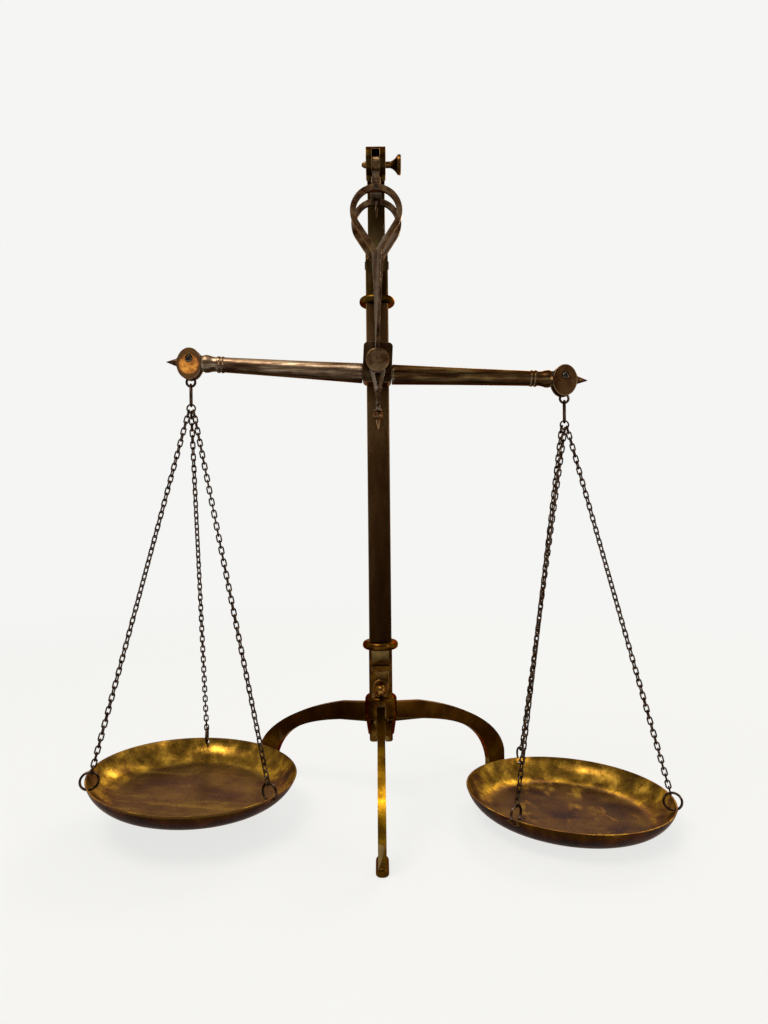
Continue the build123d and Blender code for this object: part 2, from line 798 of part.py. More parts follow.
# Beam body: the block between the shears that holds the centre knife
arm_slope = degrees(atan2(arm_end_w - arm_axis_w, half_beam - box_half_u - body_half_u))
with BuildPart() as beam_body:
    with BuildSketch(beam_plane(body_half_y)):
        with Locations((0, (body_low + body_high) / 2)):
            RectangleRounded(2 * body_half_u, body_high - body_low, body_round)
    extrude(amount=2 * body_half_y)
    with BuildSketch(beam_plane(body_half_y)):
        with BuildLine():
            knife_outline(knife_half, knife_height, fit, False)
        make_face()
    extrude(amount=2 * body_half_y, mode=Mode.SUBTRACT)
    for side in (-1, 1):
        with BuildSketch(beam_across(side * body_half_u, arm_axis_w)):
            Circle(spigot_r + fit)
        extrude(amount=-side * (spigot_length + seat_gap), mode=Mode.SUBTRACT)
    upward = beam_point(0, 1) - beam_point(0, 0)
    with BuildSketch(Plane(beam_point(0, body_high), x_dir=(0, 1, 0), z_dir=tuple(upward))):
        Circle(needle_r + fit)
    extrude(amount=-4.0, mode=Mode.SUBTRACT)
save(beam_body.part, "beam_body")

# Needle: slender pointer screwed into the top of the beam body
with BuildPart() as needle:
    with BuildSketch(beam_plane(0)):
        with BuildLine():
            Polyline(
                (0, body_high - 3.8), (needle_r, body_high - 3.8), (needle_r, body_high),
                (needle_root_r, body_high), (needle_root_r, body_high + 4.0),
                (needle_r, body_high + 6.0), (0.3, needle_length), (0, needle_length), close=True,
            )
        make_face()
    revolve(axis=Axis(beam_point(0, 0), upward))
save(needle.part, "needle")

# Centre knife: steel prism through the body, edge down on both bearings
with BuildPart() as centre_knife:
    with BuildSketch(beam_plane(cheek_outer - 0.4)):
        with BuildLine():
            knife_outline(knife_half, knife_height, 0, False)
        make_face()
    extrude(amount=2 * (cheek_outer - 0.4))
save(centre_knife.part, "centre_knife")


def make_beam_arm(name, side):
    """Round tapered arm with ring mouldings and a cup, ending in the box's inner block."""
    length = (half_beam - box_half_u - body_half_u) / cos(radians(arm_slope))
    turn = side * arm_slope
    root_gap = arm_root_r * tan(radians(arm_slope)) + fit
    t = radians(-beam_tilt + turn)
    root = beam_point(side * body_half_u, arm_axis_w)
    along = Vector(side * cos(t), 0, side * sin(t))
    plane = Plane(root, x_dir=tuple(along), z_dir=(0, -side, 0))
    with BuildPart() as arm:
        with BuildSketch(plane):
            with BuildLine():
                Polyline((root_gap, 0), (root_gap, arm_root_r * 0.97), (1.0, arm_root_r))
                Bezier(
                    (1.0, arm_root_r), (length * 0.3, arm_root_r * 0.9),
                    (length * 0.65, arm_tip_r * 1.03), (length - 18.0, arm_tip_r),
                )
                Polyline(
                    (length - 18.0, arm_tip_r), (length - 17.2, ring_r), (length - 16.2, ring_r),
                    (length - 15.6, arm_tip_r), (length - 15.0, arm_tip_r),
                    (length - 14.2, ring_r), (length - 12.6, ring_r), (length - 12.0, neck_r),
                    (length - 10.0, neck_r),
                )
                Bezier(
                    (length - 10.0, neck_r), (length - 7.0, neck_r + 0.2),
                    (length - 6.0, cup_r), (length - 2.5, cup_r),
                )
                Polyline(
                    (length - 2.5, cup_r), (length - 0.6, cup_r * 0.9), (length - 0.6, 0),
                    (root_gap, 0),
                )
            make_face()
        revolve(axis=Axis(root, tuple(along)))
        with BuildSketch(beam_across(side * (body_half_u - spigot_length), arm_axis_w)):
            Circle(spigot_r)
        extrude(amount=side * (spigot_length + 1.0))
        block_u = half_beam - box_half_u - 1.0
        with BuildSketch(beam_plane(box_gap / 2, side * block_u, arm_end_w)):
            with Locations((side * (box_block + 1.0) / 2, 0)):
                Rectangle(box_block + 1.0, 2 * neck_r)
        extrude(amount=box_gap)
        with BuildPart(mode=Mode.PRIVATE) as room:
            for face in (-1, 1):
                with BuildSketch(beam_plane(face * box_gap / 2, side * half_beam, box_centre_w)):
                    Ellipse(box_half_u + seat_gap, box_half_w + seat_gap)
                extrude(amount=-face * neck_r * 2)
        add(room.part, mode=Mode.SUBTRACT)
    save(arm.part, name)


def make_box_plate(name, side, face):
    """Oval side plate of a box end, pierced for the knife."""
    back = box_outer if face > 0 else -box_gap / 2
    with BuildPart() as plate:
        with BuildSketch(beam_plane(back)):
            with Locations((side * half_beam, box_centre_w)):
                Ellipse(box_half_u, box_half_w)
        extrude(amount=box_plate)
        with BuildSketch(beam_plane(back, side * half_beam, -end_sink)):
            with BuildLine():
                knife_outline(end_knife_half, end_knife_height, fit, True)
            make_face()
        extrude(amount=box_plate, mode=Mode.SUBTRACT)
    save(plate.part, name)


def make_end_knife(name, side):
    """Steel knife across a box end, edge up under the shackle."""
    with BuildPart() as knife:
        with BuildSketch(beam_plane(box_outer + knife_stub, side * half_beam, -end_sink)):
            with BuildLine():
                knife_outline(end_knife_half, end_knife_height, 0, True)
            make_face()
        extrude(amount=2 * (box_outer + knife_stub))
    save(knife.part, name)


def make_spike(name, side):
    """Pointed finial whose flat root closes the outer end of the box."""
    rim_u = half_beam + box_half_u + seat_gap
    with BuildPart() as spike:
        with BuildSketch(beam_plane(box_gap / 2, side * rim_u, arm_end_w)):
            with Locations((-side * box_block / 2, 0)):
                Rectangle(box_block, 2 * spike_r + 1)
        extrude(amount=box_gap)
        plane = Plane(
            beam_point(side * rim_u, arm_end_w),
            x_dir=tuple(side * (beam_point(1, 0) - beam_point(0, 0))),
            z_dir=(0, -side, 0),
        )
        with BuildSketch(plane):
            with BuildLine():
                Polyline(
                    (0, 0), (0, spike_r), (1.2, spike_r), (1.2, spike_r * 0.8),
                    (2.2, spike_r * 0.8), (spike_length, 0.25), (spike_length, 0), close=True,
                )
            make_face()
        revolve(axis=Axis(plane.origin, tuple(plane.x_dir)))
    save(spike.part, name)


def drop_point(side, drop, u=0.0, y=0.0):
    """A point straight below an end knife edge."""
    edge = beam_point(side * half_beam, -end_sink)
    return Vector(edge.X + u, edge.Y + y, edge.Z - drop)


def make_ring(centre, axis, radius, wire):
    """A plain wire ring as a torus, added to the current part."""
    torus = Torus(radius, wire, mode=Mode.PRIVATE)
    with Locations(Plane(tuple(centre), z_dir=tuple(axis)).location):
        add(torus)


def make_shackle(name, side):
    """Steel stirrup that rides the end knife and ends in an eye below the box."""
    edge = drop_point(side, 0)
    with BuildPart() as shackle:
        with BuildSketch(front_plane(edge.Y + shackle_thick / 2, edge.X, edge.Z)):
            with Locations((0, shackle_crown)):
                RectangleRounded(
                    2 * shackle_half, 13.5, 2.5, align=(Align.CENTER, Align.MAX)
                )
            with Locations((0, -8.0)):
                Rectangle(
                    2 * shackle_shank_half, eye_drop - eye_r - 8.0, align=(Align.CENTER, Align.MAX)
                )
            with BuildLine():
                Polyline(
                    (0, seat_gap), (shackle_half - 1.6, -1.0), (shackle_half - 1.6, -7.2),
                    (1.6 - shackle_half, -7.2), (1.6 - shackle_half, -1.0), close=True,
                )
            make_face(mode=Mode.SUBTRACT)
        extrude(amount=shackle_thick)
        make_ring(drop_point(side, eye_drop), Vector(0, 1, 0), eye_r, eye_wire_r)
    save(shackle.part, name)


hook_top = eye_drop + eye_r - eye_wire_r - hook_wire_r - seat_gap
gather_top = hook_top + hook_length - hook_wire_r - gather_wire_r - seat_gap
gather_drop = gather_top + gather_r


def wire_loop(reach, half, wire):
    """Closed oval of round wire along x in the xy plane; reach and half are to its centre line."""
    straight = reach - half
    with BuildPart() as loop:
        with BuildLine() as path:
            top = Line((-straight, half), (straight, half))
            ThreePointArc(top @ 1, (reach, 0), (straight, -half))
            low = Line((straight, -half), (-straight, -half))
            ThreePointArc(low @ 1, (-reach, 0), top @ 0)
        with BuildSketch(Plane(top @ 0, z_dir=top % 0)):
            Circle(wire)
        sweep(path=path.wires()[0])
    return loop.part


def make_hook_link(name, side):
    """Long oval wire link hung in the shackle's eye, seen edge-on from the front."""
    centre = drop_point(side, hook_top + hook_length / 2)
    place = Plane(tuple(centre), x_dir=(0, 0, 1), z_dir=(1, 0, 0)).location
    save(place * wire_loop(hook_length / 2, hook_half, hook_wire_r), name)


# One chain link, lying along x with its wire loop in the xy plane
link_reach = (link_pitch + link_gap + 2 * wire_r) / 2
chain_link = wire_loop(link_reach, link_half, wire_r)


def make_chain(name, gather, spread, ring_top, end_dir):
    """Taut chain of links from the gather ring's wire to a pan ring's wire, evenly twisted."""
    radial = Vector(cos(spread), 0, sin(spread))
    wire_dir = Vector(-sin(spread), 0, cos(spread))
    hook = gather + radial * gather_r
    along = (ring_top - hook).normalized()
    lean = 1 - wire_dir.dot(along) ** 2
    start = hook - along * ((gather_wire_r + wire_r + seat_gap) / lean - wire_r)
    end = ring_top + along * (ring_wire_r + seat_gap)
    span = (end - start).length + 2 * wire_r
    count = round((span - link_gap) / link_pitch)
    pitch = (span - 2 * link_reach) / (count - 1)
    across = (wire_dir - along * wire_dir.dot(along)).normalized()
    other = along.cross(across)
    goal = degrees(atan2(end_dir.dot(other), end_dir.dot(across)))
    spare = (goal - (count - 1) * 90 + 90) % 180 - 90
    step = radians(90 + spare / (count - 1))
    places = []
    for i in range(count):
        centre = start + along * (link_reach - wire_r + i * pitch)
        normal = across * cos(i * step) + other * sin(i * step)
        places.append(Plane(tuple(centre), x_dir=tuple(along), z_dir=tuple(normal)).location)
    links = [place * chain_link for place in places]
    chain = Compound(children=[Solid(one.solids()[0].wrapped) for one in links])
    save(chain, name)


def pan_frame(prefix, side):
    """Plane of a pan's rim: both pans lean down to the right, the right one back as well."""
    centre = drop_point(side, pan_drop[prefix])
    lean = Location((0, 0, 0), (-pan_pitch[prefix], pan_roll[prefix], 0))
    return Plane(Location(tuple(centre)) * lean)


def bowl_radius(depth):
    """Outer radius of the pan at a depth below its rim."""
    flare = pan_rim_r - pan_flat_r
    arc_r = (flare**2 + pan_depth**2) / (2 * pan_depth)
    rise = pan_depth - depth
    return pan_flat_r + sqrt(arc_r**2 - (arc_r - rise) ** 2)


def make_pan(name, frame, azimuths):
    """Spun brass dish with three small holes near its rim."""
    flare = pan_rim_r - pan_flat_r
    arc_r = (flare**2 + pan_depth**2) / (2 * pan_depth)
    half = 0.5 * degrees(atan2(flare, arc_r - pan_depth))
    mid = (
        pan_flat_r + arc_r * sin(radians(half)),
        arc_r - pan_depth - arc_r * cos(radians(half)),
    )
    inner_r = arc_r - pan_sheet
    inner_mid = (
        pan_flat_r + inner_r * sin(radians(half)),
        arc_r - pan_depth - inner_r * cos(radians(half)),
    )
    inner_rim = pan_flat_r + sqrt(inner_r**2 - (arc_r - pan_depth) ** 2)
    upright = Plane(frame.origin, x_dir=tuple(frame.x_dir), z_dir=tuple(-frame.y_dir))
    with BuildPart() as pan:
        with BuildSketch(upright):
            with BuildLine():
                Line((0, -pan_depth), (pan_flat_r, -pan_depth))
                ThreePointArc((pan_flat_r, -pan_depth), mid, (pan_rim_r, 0))
                Line((pan_rim_r, 0), (inner_rim, 0))
                ThreePointArc((inner_rim, 0), inner_mid, (pan_flat_r, pan_sheet - pan_depth))
                Polyline(
                    (pan_flat_r, pan_sheet - pan_depth), (0, pan_sheet - pan_depth), (0, -pan_depth)
                )
            make_face()
        revolve(axis=Axis(frame.origin, tuple(frame.z_dir)))
        for azimuth in azimuths:
            a = radians(azimuth)
            out = frame.x_dir * cos(a) + frame.y_dir * sin(a)
            start = frame.origin + out * (pan_rim_r - 8.0) - frame.z_dir * pan_hole_drop
            with BuildSketch(Plane(tuple(start), z_dir=tuple(out))):
                Circle(pan_hole_r)
            extrude(amount=12.0, mode=Mode.SUBTRACT)
    save(pan.part, name)


def make_suspension(prefix, side):
    """Everything that hangs from one end knife."""
    make_shackle(f"{prefix}_shackle", side)
    make_hook_link(f"{prefix}_hook_link", side)
    gather = drop_point(side, gather_drop)
    with BuildPart() as gather_ring:
        make_ring(gather, Vector(0, 1, 0), gather_r, gather_wire_r)
    save(gather_ring.part, f"{prefix}_gather_ring")
    frame = pan_frame(prefix, side)
    rings = []
    for number, azimuth in enumerate(pan_hole_azimuths[prefix]):
        spread = radians(gather_slots[prefix][number])
        a = radians(azimuth)
        out = frame.x_dir * cos(a) + frame.y_dir * sin(a)
        hole_r = bowl_radius(pan_wire_drop) - pan_sheet / 2
        hole = frame.origin + out * hole_r - frame.z_dir * pan_wire_drop
        pull = (gather + Vector(cos(spread), 0, sin(spread)) * gather_r - hole).normalized()
        ring_axis = pull.cross(out).normalized()
        rings.append((hole + pull * pan_ring_r, ring_axis))
        ring_top = hole + pull * 2 * pan_ring_r
        make_chain(f"{prefix}_chain_{number + 1}", gather, spread, ring_top, ring_axis.cross(pull))
    with BuildPart() as pan_rings:
        for centre, axis in rings:
            make_ring(centre, axis, pan_ring_r, ring_wire_r)
    save(pan_rings.part, f"{prefix}_pan_rings")
    make_pan(f"{prefix}_pan", frame, pan_hole_azimuths[prefix])


for prefix, side in (("left", -1), ("right", 1)):
    make_beam_arm(f"{prefix}_beam_arm", side)
    make_box_plate(f"{prefix}_box_front_plate", side, -1)
    make_box_plate(f"{prefix}_box_rear_plate", side, 1)
    make_end_knife(f"{prefix}_end_knife", side)
    make_spike(f"{prefix}_spike", side)
    make_suspension(prefix, side)
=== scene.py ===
# %% [markdown]
# # A folding apothecary balance in aged brass
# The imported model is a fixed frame: every piece of it already stands in its
# real place, in metres, with the floor at z = 0 and the viewer on the -Y side.
# This script only dresses that frame. It gives the larger pieces a worn
# skin, every piece a finish built from nodes, and the whole the light and
# camera of the photograph.

import json
import math

import bmesh
import bpy
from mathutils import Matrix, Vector


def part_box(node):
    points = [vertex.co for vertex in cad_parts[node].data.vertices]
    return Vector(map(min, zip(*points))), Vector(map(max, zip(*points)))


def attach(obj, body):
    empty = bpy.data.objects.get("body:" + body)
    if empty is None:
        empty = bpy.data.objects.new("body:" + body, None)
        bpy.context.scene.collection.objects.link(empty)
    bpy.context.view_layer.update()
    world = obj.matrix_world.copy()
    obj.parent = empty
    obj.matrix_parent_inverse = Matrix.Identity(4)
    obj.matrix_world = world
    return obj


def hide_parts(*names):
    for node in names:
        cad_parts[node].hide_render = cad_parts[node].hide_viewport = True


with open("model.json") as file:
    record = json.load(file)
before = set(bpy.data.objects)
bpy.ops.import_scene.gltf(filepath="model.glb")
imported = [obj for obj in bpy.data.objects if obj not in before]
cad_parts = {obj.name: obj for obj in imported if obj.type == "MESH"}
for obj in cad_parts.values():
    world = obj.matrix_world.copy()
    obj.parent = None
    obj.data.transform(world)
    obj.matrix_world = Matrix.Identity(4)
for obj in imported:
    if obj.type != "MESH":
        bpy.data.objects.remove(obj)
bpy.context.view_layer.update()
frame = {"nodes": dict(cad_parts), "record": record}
nodes = frame["nodes"]
home = {node: body for body, names in frame["record"]["behaviour"]["bodies"].items() for node in names}
finish_of = {s["node"]: s["material_slot"] for s in frame["record"]["subparts"]}

# %% [markdown]
# ## Lengths and centres
# The frame is in metres, and a balance is easier to think about in
# millimetres. The middle of a piece is read from the frame. The camera, the
# lamps and the bands of tone on the pillar and the front leg stand at fixed
# heights.

# %% Millimetres and the middle of a piece
MM = 0.001


def centre_of(name):
    """Centre of a node's box."""
    low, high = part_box(name)
    return (low + high) / 2


print("left pan's centre", [round(v, 3) for v in centre_of("left_pan")])

# %% [markdown]
# ## Camera
# The photograph was taken with a wide lens from close by, a little below the
# middle of the balance and straight in front of the pillar. A level camera
# keeps the pillar's sides parallel, so the height of the lens is the height
# of the horizon. The small roll is a compromise between the stand and the
# pieces that hang from it.

# %% Place the camera
BEAM_Y = -4 * MM
EYE_HEIGHT = 250.8 * MM
EYE_DISTANCE = 557 * MM
EYE_YAW = math.radians(-0.36)
EYE_ROLL = math.radians(0.56)
EYE_SIDE = 4.0 * MM

camera = bpy.data.objects.new("camera", bpy.data.cameras.new("camera"))
bpy.context.scene.collection.objects.link(camera)
camera.data.lens = 24
camera.data.sensor_width = 36
camera.data.sensor_fit = "AUTO"
camera.data.clip_start = 0.01
forward = Vector((-math.sin(EYE_YAW), math.cos(EYE_YAW), 0))
sideways = Vector((math.cos(EYE_YAW), math.sin(EYE_YAW), 0))
camera.location = Vector((0, BEAM_Y, EYE_HEIGHT)) - forward * EYE_DISTANCE + sideways * EYE_SIDE
camera.rotation_euler = (math.radians(90), EYE_ROLL, EYE_YAW)
bpy.context.scene.camera = camera
print("camera at", [round(v, 3) for v in camera.location])

# %% [markdown]
# ## Colours as they look
# A paint chart gives colours as they look on a screen, but nodes work in
# linear light. This helper turns the first into the second, so that every
# finish below can be written in the numbers a colour picker shows.


# %% Screen colour to linear colour
def tone(red, green, blue):
    """A colour picker's 0 to 255 values as a linear colour with full alpha."""
    def linear(value):
        share = value / 255
        return share / 12.92 if share <= 0.04045 else ((share + 0.055) / 1.055) ** 2.4
    return (linear(red), linear(green), linear(blue), 1.0)


print("mid grey is", round(tone(128, 128, 128)[0], 3))

# %% [markdown]
# ## The room
# Metal has hardly a colour of its own: it shows the room. The room here is
# plain and pale behind the object and duller on the viewer's side, as in a
# studio with a white backdrop, so polished edges catch the white and faces
# turned to the viewer stay deep. The camera sees the pale backdrop on every
# side, and the metal sees it behind the object and overhead.

# %% Build the room
PALE = tone(245, 245, 243)
ROOM_FRONT = 0.30
FRONT_FROM = -0.75
FRONT_TO = 0.1
AMBIENT = 0.55


def node(tree, kind, **settings):
    """Adds a node of that kind and sets its plain properties."""
    made = tree.nodes.new(kind)
    for key, value in settings.items():
        setattr(made, key, value)
    return made


def seen_by_eye_or_metal(tree):
    """1 for rays that the camera, gloss or glass sees, 0 for plain lighting."""
    path = node(tree, "ShaderNodeLightPath")
    first = node(tree, "ShaderNodeMath", operation="MAXIMUM")
    second = node(tree, "ShaderNodeMath", operation="MAXIMUM")
    tree.links.new(path.outputs["Is Camera Ray"], first.inputs[0])
    tree.links.new(path.outputs["Is Glossy Ray"], first.inputs[1])
    tree.links.new(first.outputs[0], second.inputs[0])
    tree.links.new(path.outputs["Is Transmission Ray"], second.inputs[1])
    return second.outputs[0]


world = bpy.data.worlds.new("room")
bpy.context.scene.world = world
world.use_nodes = True
tree = world.node_tree
tree.nodes.clear()
direction = node(tree, "ShaderNodeTexCoord")
split = node(tree, "ShaderNodeSeparateXYZ")
tree.links.new(direction.outputs["Generated"], split.inputs[0])
depth = node(tree, "ShaderNodeMapRange", interpolation_type="SMOOTHSTEP")
depth.inputs["From Min"].default_value = FRONT_FROM
depth.inputs["From Max"].default_value = FRONT_TO
depth.inputs["To Min"].default_value = ROOM_FRONT
depth.inputs["To Max"].default_value = 1.0
tree.links.new(split.outputs["Y"], depth.inputs["Value"])
eye = node(tree, "ShaderNodeMath", operation="MAXIMUM")
tree.links.new(node(tree, "ShaderNodeLightPath").outputs["Is Camera Ray"], eye.inputs[0])
tree.links.new(depth.outputs["Result"], eye.inputs[1])
seen = node(tree, "ShaderNodeBackground")
seen.inputs["Color"].default_value = PALE
tree.links.new(eye.outputs[0], seen.inputs["Strength"])
lit = node(tree, "ShaderNodeBackground")
lit.inputs["Color"].default_value = PALE
lit.inputs["Strength"].default_value = AMBIENT
mix = node(tree, "ShaderNodeMixShader")
tree.links.new(seen_by_eye_or_metal(tree), mix.inputs[0])
tree.links.new(lit.outputs[0], mix.inputs[1])
tree.links.new(seen.outputs[0], mix.inputs[2])
tree.links.new(mix.outputs[0], node(tree, "ShaderNodeOutputWorld").inputs[0])

bpy.context.scene.view_settings.view_transform = "Standard"
print("room front level", ROOM_FRONT)

# %% [markdown]
# ## Floor without a horizon
# Close to the balance the floor still takes a little light and shadow.
# Further out it turns into the colour of the room, so no line shows where it
# ends. The share that glows therefore grows with the distance from the pillar.

# %% Lay the floor
FLOOR_HALF = 6.0
GLOW_NEAR = 0.82
GLOW_FROM = 0.35
GLOW_TO = 1.5

floor_mesh = bmesh.new()
bmesh.ops.create_grid(floor_mesh, x_segments=4, y_segments=4, size=FLOOR_HALF)
floor = bpy.data.objects.new("floor", bpy.data.meshes.new("floor"))
floor_mesh.to_mesh(floor.data)
floor_mesh.free()
bpy.context.scene.collection.objects.link(floor)
paper = bpy.data.materials.new("floor_paper")
paper.use_nodes = True
tree = paper.node_tree
tree.nodes.clear()
matt = node(tree, "ShaderNodeBsdfDiffuse")
matt.inputs["Color"].default_value = tone(228, 228, 226)
glow = node(tree, "ShaderNodeEmission")
glow.inputs["Color"].default_value = PALE
reach = node(tree, "ShaderNodeVectorMath", operation="LENGTH")
tree.links.new(node(tree, "ShaderNodeTexCoord").outputs["Object"], reach.inputs[0])
spread = node(tree, "ShaderNodeMapRange", interpolation_type="SMOOTHSTEP")
spread.inputs["From Min"].default_value = GLOW_FROM
spread.inputs["From Max"].default_value = GLOW_TO
spread.inputs["To Min"].default_value = GLOW_NEAR
tree.links.new(reach.outputs["Value"], spread.inputs["Value"])
share = node(tree, "ShaderNodeMath", operation="MULTIPLY")
tree.links.new(spread.outputs[0], share.inputs[1])
tree.links.new(seen_by_eye_or_metal(tree), share.inputs[0])
mix = node(tree, "ShaderNodeMixShader")
tree.links.new(share.outputs[0], mix.inputs[0])
tree.links.new(matt.outputs[0], mix.inputs[1])
tree.links.new(glow.outputs[0], mix.inputs[2])
tree.links.new(mix.outputs[0], node(tree, "ShaderNodeOutputMaterial").inputs[0])
floor.data.materials.append(paper)
print("floor is", 2 * FLOOR_HALF, "m wide")

# %% [markdown]
# ## Lamps
# Three large soft lamps do the modelling: one above and to the left, whose
# reflection draws the bright line along the beam, a weaker one low on the
# right, and one behind. Large lamps keep the highlights wide and soft.


# %% Hang the lamps
def soft_lamp(name, place, target, width, height, watts, colour):
    """A rectangular soft lamp at a place, turned towards a point."""
    data = bpy.data.lights.new(name, "AREA")
    data.shape = "RECTANGLE"
    data.size = width
    data.size_y = height
    data.energy = watts
    data.color = colour[:3]
    lamp = bpy.data.objects.new(name, data)
    bpy.context.scene.collection.objects.link(lamp)
    lamp.location = place
    lamp.rotation_euler = (Vector(target) - Vector(place)).to_track_quat("-Z", "Y").to_euler()


MIDDLE = (0, 0, 0.26)
soft_lamp("top_lamp", (-0.5, -0.55, 1.5), MIDDLE, 0.9, 0.6, 16, tone(255, 248, 236))
soft_lamp("right_lamp", (1.3, -0.9, 0.5), MIDDLE, 0.5, 0.9, 7, tone(255, 240, 220))
soft_lamp("back_lamp", (0.6, 1.2, 1.1), MIDDLE, 0.8, 0.5, 10, tone(255, 250, 244))

# %% [markdown]
# ## The finish: brass that has been handled for a century
# Bare brass browns in the air, stays brighter where hands and rubbing reach
# it, and keeps dirt in its hollows. One recipe gives all of these finishes:
# a broad noise moves between a deep, a middle and a light tone, a fine noise
# speckles it, and faces that look down are darkened by a painted shade.
# Rounded corners are paler: each skin below marks them with a value called
# wear. Dark patches are rougher too, and a faint bump of file marks breaks up
# the reflections.


# %% The aged metal recipe
# The dark brown of the painted shade on faces that look down.
UNDERSIDE_SHADE = tone(24, 16, 9)


def ramp(tree, source, stops):
    """A colour ramp on a value; stops are (position, colour)."""
    made = node(tree, "ShaderNodeValToRGB")
    elements = made.color_ramp.elements
    while len(elements) < len(stops):
        elements.new(0.5)
    for element, (position, colour) in zip(elements, stops):
        element.position = position
        element.color = colour
    tree.links.new(source, made.inputs[0])
    return made.outputs[0]


def blend_colour(tree, share, first, second):
    """Mixes two colours; share may be a socket or a number, the colours sockets or colours."""
    made = node(tree, "ShaderNodeMix", data_type="RGBA")
    for socket, value in ((made.inputs[0], share), (made.inputs[6], first), (made.inputs[7], second)):
        if isinstance(value, bpy.types.NodeSocket):
            tree.links.new(value, socket)
        else:
            socket.default_value = value
    return made.outputs[2]


def noise(tree, place, size, detail=4, rough=0.55, stretch=(1, 1, 1)):
    """Noise whose features are about size metres across."""
    scaled = node(tree, "ShaderNodeMapping")
    scaled.inputs["Scale"].default_value = stretch
    tree.links.new(place, scaled.inputs[0])
    made = node(tree, "ShaderNodeTexNoise")
    made.inputs["Scale"].default_value = 1 / size
    made.inputs["Detail"].default_value = detail
    made.inputs["Roughness"].default_value = rough
    tree.links.new(scaled.outputs[0], made.inputs["Vector"])
    return made.outputs[0]


def distance_in_plane(tree, place, centre, plane):
    """Distance from a centre, counting only the directions in which plane has a 1."""
    shifted = node(tree, "ShaderNodeVectorMath", operation="SUBTRACT")
    shifted.inputs[1].default_value = centre
    tree.links.new(place, shifted.inputs[0])
    flat = node(tree, "ShaderNodeVectorMath", operation="MULTIPLY")
    flat.inputs[1].default_value = plane
    tree.links.new(shifted.outputs[0], flat.inputs[0])
    length = node(tree, "ShaderNodeVectorMath", operation="LENGTH")
    tree.links.new(flat.outputs[0], length.inputs[0])
    return length.outputs["Value"]


def scaled_sum(tree, value, factor, added):
    """value times the number factor, plus added."""
    made = node(tree, "ShaderNodeMath", operation="MULTIPLY_ADD")
    tree.links.new(value, made.inputs[0])
    made.inputs[1].default_value = factor
    tree.links.new(added, made.inputs[2])
    return made.outputs[0]


def share_of(tree, value, low, high, most=1.0, least=0.0, smooth=False):
    """A value between low and high as a share between least and most."""
    made = node(tree, "ShaderNodeMapRange")
    if smooth:
        made.interpolation_type = "SMOOTHSTEP"
    for key, number in (("From Min", low), ("From Max", high), ("To Min", least), ("To Max", most)):
        made.inputs[key].default_value = number
    tree.links.new(value, made.inputs["Value"])
    return made.outputs[0]


DIRT_FROM = 0.52
DIRT_TO = 0.72
DIRT_SHARE = 0.6
LOOKS_SIDEWAYS = -0.1
LOOKS_DOWN = -0.85
SPECKS_PER_PATCH = 14
EDGE_FROM = 0.495
EDGE_TO = 0.52
CREST_FROM = 0.53
CREST_TO = 0.64
CREST_SHARE = 0.4
FILE_MARK = 1.1 * MM
FILE_DEPTH = 0.1 * MM
FILE_STRETCH = 0.25


def aged_metal(name, deep, middle, light, worn, patch=18 * MM, rough=(0.28, 0.5),
               file_marks=0.25, stretch=(1, 1, 1), metallic=1.0, edge=0.5, under_shade=0.6, coat=0.5,
               graze=tone(200, 166, 124), body_colour=None, relief=None):
    """A tarnished metal from three tones, a worn edge tone and the size of its patches."""
    material = bpy.data.materials.new(name)
    material.use_nodes = True
    tree = material.node_tree
    shader = tree.nodes["Principled BSDF"]
    shader.inputs["Metallic"].default_value = metallic
    shader.inputs["Specular Tint"].default_value = graze
    shader.inputs["Specular IOR Level"].default_value = coat
    place = node(tree, "ShaderNodeTexCoord").outputs["Object"]
    shape = node(tree, "ShaderNodeNewGeometry")

    broad = noise(tree, place, patch, stretch=stretch)
    colour = ramp(tree, broad, [(0.32, deep), (0.5, middle), (0.7, light)])
    if body_colour is not None:
        colour = body_colour(tree, place, colour)
    speck = noise(tree, place, patch / SPECKS_PER_PATCH, detail=3)
    colour = blend_colour(tree, share_of(tree, speck, DIRT_FROM, DIRT_TO, DIRT_SHARE), colour, deep)
    facing = node(tree, "ShaderNodeSeparateXYZ")
    tree.links.new(shape.outputs["Normal"], facing.inputs[0])
    # Painted shade: faces that look down are darkened towards a dark brown, the more the further they
    # look down.
    shadow = share_of(tree, facing.outputs["Z"], LOOKS_SIDEWAYS, LOOKS_DOWN, under_shade, smooth=True)
    colour = blend_colour(tree, shadow, colour, UNDERSIDE_SHADE)
    corner = node(tree, "ShaderNodeAttribute", attribute_name="wear").outputs["Fac"]
    outward = share_of(tree, shape.outputs["Pointiness"], EDGE_FROM, EDGE_TO, edge)
    rubbed = node(tree, "ShaderNodeMath", operation="MULTIPLY")
    tree.links.new(corner, rubbed.inputs[0])
    tree.links.new(outward, rubbed.inputs[1])
    colour = blend_colour(tree, rubbed.outputs[0], colour, worn)
    crest = share_of(
        tree, shape.outputs["Pointiness"], CREST_FROM, CREST_TO, edge * CREST_SHARE
    )
    colour = blend_colour(tree, crest, colour, worn)
    tree.links.new(colour, shader.inputs["Base Color"])
    tree.links.new(share_of(tree, broad, 0.3, 0.7, rough[0], rough[1]), shader.inputs["Roughness"])

    along_file = (stretch[0], stretch[1], stretch[2] * FILE_STRETCH)
    height = noise(tree, place, FILE_MARK, detail=2, stretch=along_file)
    if relief is not None:
        height = relief(tree, place, height)
    bump = node(tree, "ShaderNodeBump")
    bump.inputs["Strength"].default_value = file_marks
    bump.inputs["Distance"].default_value = FILE_DEPTH
    tree.links.new(height, bump.inputs["Height"])
    tree.links.new(bump.outputs[0], shader.inputs["Normal"])
    return material


finishes = {}
print("recipe ready")

# %% [markdown]
# ## One finish for each group of pieces
# The pillar turns almost black towards its foot. The head, the hub and the
# rear legs are a deep brown, and the front leg is golden in a band of its height.
# The shears are a grey-brown bronze with pale edges, and the beam's block is
# darker. A finish is a small set of tones, so the pieces stay one family.

# %% Mix the finishes
MOST_DARK = 0.85


